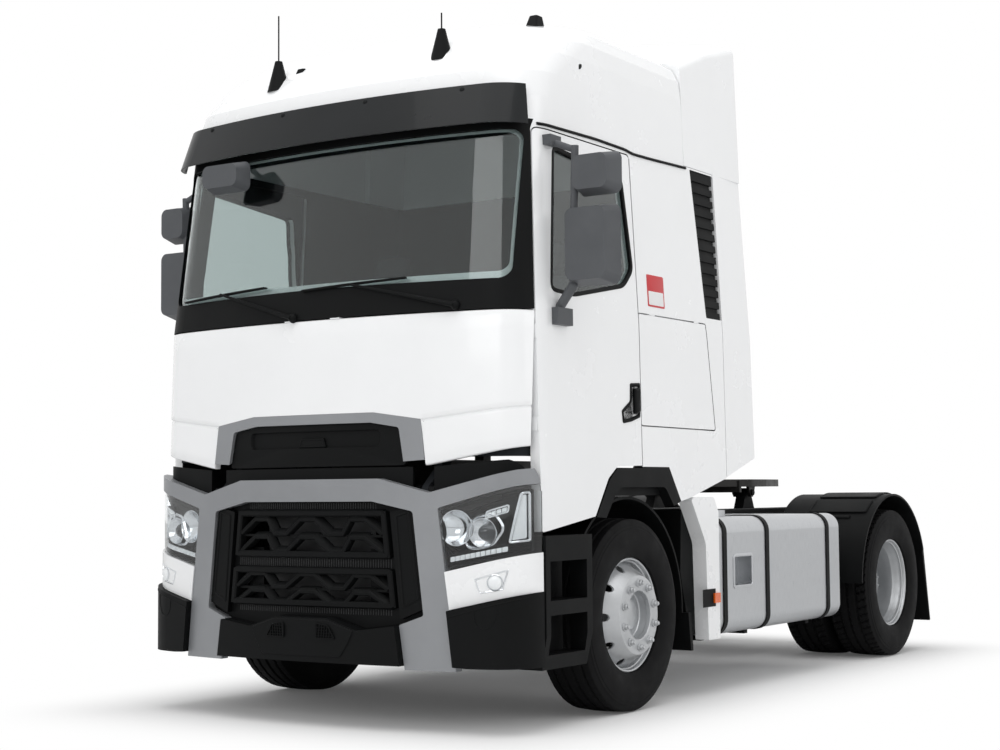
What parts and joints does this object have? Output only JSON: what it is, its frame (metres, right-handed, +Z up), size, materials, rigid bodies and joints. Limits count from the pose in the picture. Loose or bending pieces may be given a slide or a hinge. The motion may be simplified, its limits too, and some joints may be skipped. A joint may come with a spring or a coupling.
{
  "type": "semi-truck tractor unit",
  "caption": "Two-axle road tractor with a tilting high-roof sleeper cab over the engine, a fifth-wheel coupling and side fuel tanks.",
  "frame": {"origin": "on the ground under the middle of the vehicle's bounding box", "axes": "+X to the vehicle's left, +Y to its rear, +Z up; the cab faces -Y"},
  "size_m": [3.02, 5.6, 3.9698],
  "materials": {
    "white_paint": "gloss",
    "grey_paint": "satin",
    "black_plastic": "grained",
    "dark_plastic": "grained",
    "dark_acrylic": "satin",
    "glass": "gloss",
    "clear_lens": "gloss",
    "orange_lens": "gloss",
    "reflector": "polished",
    "tank_aluminium": "brushed",
    "wheel_steel": "silver paint",
    "tyre": "matt",
    "chassis_paint": "satin",
    "cast_iron": "cast",
    "radiator": "dull",
    "seat_fabric": "woven"
  },
  "bodies": {
    "chassis": {"frame": "chassis_paint", "front_axle": "chassis_paint", "rear_axle": "chassis_paint", "springs": "chassis_paint", "engine": "cast_iron", "radiator": "radiator", "cab_mounts": "chassis_paint", "front_surround": "grey_paint", "front_apron": "black_plastic", "grille": "black_plastic", "lamp_units": "reflector", "lamp_lenses": "clear_lens", "bumper_corners": "white_paint", "bumper_lower": "black_plastic", "entry_steps": "black_plastic", "mudguards": "black_plastic", "fuel_tanks": "tank_aluminium", "tank_straps": "black_plastic", "side_fairings": "white_paint", "silencer_box": "tank_aluminium", "marker_lamps": "orange_lens", "coupling_base": "chassis_paint"},
    "cab": {"cab_shell": "white_paint", "cab_roof": "white_paint", "windscreen": "glass", "windscreen_surround": "black_plastic", "sun_visor": "dark_acrylic", "air_deflectors": "white_paint", "side_trims": "black_plastic", "roof_fittings": "black_plastic", "kerb_mirror": "black_plastic", "dashboard": "dark_plastic", "steering_wheel": "dark_plastic", "seats": "seat_fabric", "bunk": "seat_fabric"},
    "front_flap": {"front_flap": "white_paint", "flap_arch": "grey_paint", "flap_grille": "black_plastic"},
    "door_left": {"door_left": "white_paint", "door_glass_left": "glass", "mirror_left": "black_plastic"},
    "locker_left": {"locker_left": "white_paint"},
    "knuckle_left": {"knuckle_left": "cast_iron"},
    "front_wheel_left": {"front_tyre_left": "tyre", "front_rim_left": "wheel_steel"},
    "rear_wheels_left": {"rear_tyres_left": "tyre", "rear_rims_left": "wheel_steel"},
    "door_right": {"door_right": "white_paint", "door_glass_right": "glass", "mirror_right": "black_plastic"},
    "locker_right": {"locker_right": "white_paint"},
    "knuckle_right": {"knuckle_right": "cast_iron"},
    "front_wheel_right": {"front_tyre_right": "tyre", "front_rim_right": "wheel_steel"},
    "rear_wheels_right": {"rear_tyres_right": "tyre", "rear_rims_right": "wheel_steel"},
    "coupling_plate": {"coupling_plate": "cast_iron"}
  },
  "joints": [
    {"name": "cab_tilt", "type": "hinge", "parent": "chassis", "child": "cab", "pos_m": [0, -2.62, 1.16], "axis": [1, 0, 0], "range_deg": [0, 60]},
    {"name": "flap_lift", "type": "hinge", "parent": "cab", "child": "front_flap", "pos_m": [0, -2.705, 2.04], "axis": [-1, 0, 0], "range_deg": [0, 75]},
    {"name": "door_left_swing", "type": "hinge", "parent": "cab", "child": "door_left", "pos_m": [1.19436, -2.4475, 1.7], "axis": [0.0228, 0, -0.9997], "range_deg": [0, 70]},
    {"name": "locker_left_lift", "type": "hinge", "parent": "cab", "child": "locker_left", "pos_m": [1.19963, -1.05, 2.1035], "axis": [0, -1, 0], "range_deg": [0, 85]},
    {"name": "steer_left", "type": "hinge", "parent": "chassis", "child": "knuckle_left", "pos_m": [0.9, -1.5, 0.507], "axis": [0, 0, 1], "range_deg": [-38, 38]},
    {"name": "front_spin_left", "type": "hinge", "parent": "knuckle_left", "child": "front_wheel_left", "pos_m": [1.035, -1.5, 0.507], "axis": [1, 0, 0], "continuous": true},
    {"name": "rear_spin_left", "type": "hinge", "parent": "chassis", "child": "rear_wheels_left", "pos_m": [0.9225, 2.1, 0.507], "axis": [1, 0, 0], "continuous": true},
    {"name": "door_right_swing", "type": "hinge", "parent": "cab", "child": "door_right", "pos_m": [-1.19436, -2.4475, 1.7], "axis": [0.0228, 0, 0.9997], "range_deg": [0, 70]},
    {"name": "locker_right_lift", "type": "hinge", "parent": "cab", "child": "locker_right", "pos_m": [-1.19963, -1.05, 2.1035], "axis": [0, 1, 0], "range_deg": [0, 85]},
    {"name": "steer_right", "type": "hinge", "parent": "chassis", "child": "knuckle_right", "pos_m": [-0.9, -1.5, 0.507], "axis": [0, 0, 1], "range_deg": [-38, 38]},
    {"name": "front_spin_right", "type": "hinge", "parent": "knuckle_right", "child": "front_wheel_right", "pos_m": [-1.035, -1.5, 0.507], "axis": [1, 0, 0], "continuous": true},
    {"name": "rear_spin_right", "type": "hinge", "parent": "chassis", "child": "rear_wheels_right", "pos_m": [-0.9225, 2.1, 0.507], "axis": [1, 0, 0], "continuous": true},
    {"name": "coupling_tilt", "type": "hinge", "parent": "chassis", "child": "coupling_plate", "pos_m": [0, 1.58, 1.14], "axis": [1, 0, 0], "range_deg": [-12, 12]}
  ],
  "couplings": [
    {"joint": "steer_right", "follows": "steer_left", "ratio": 1}
  ]
}
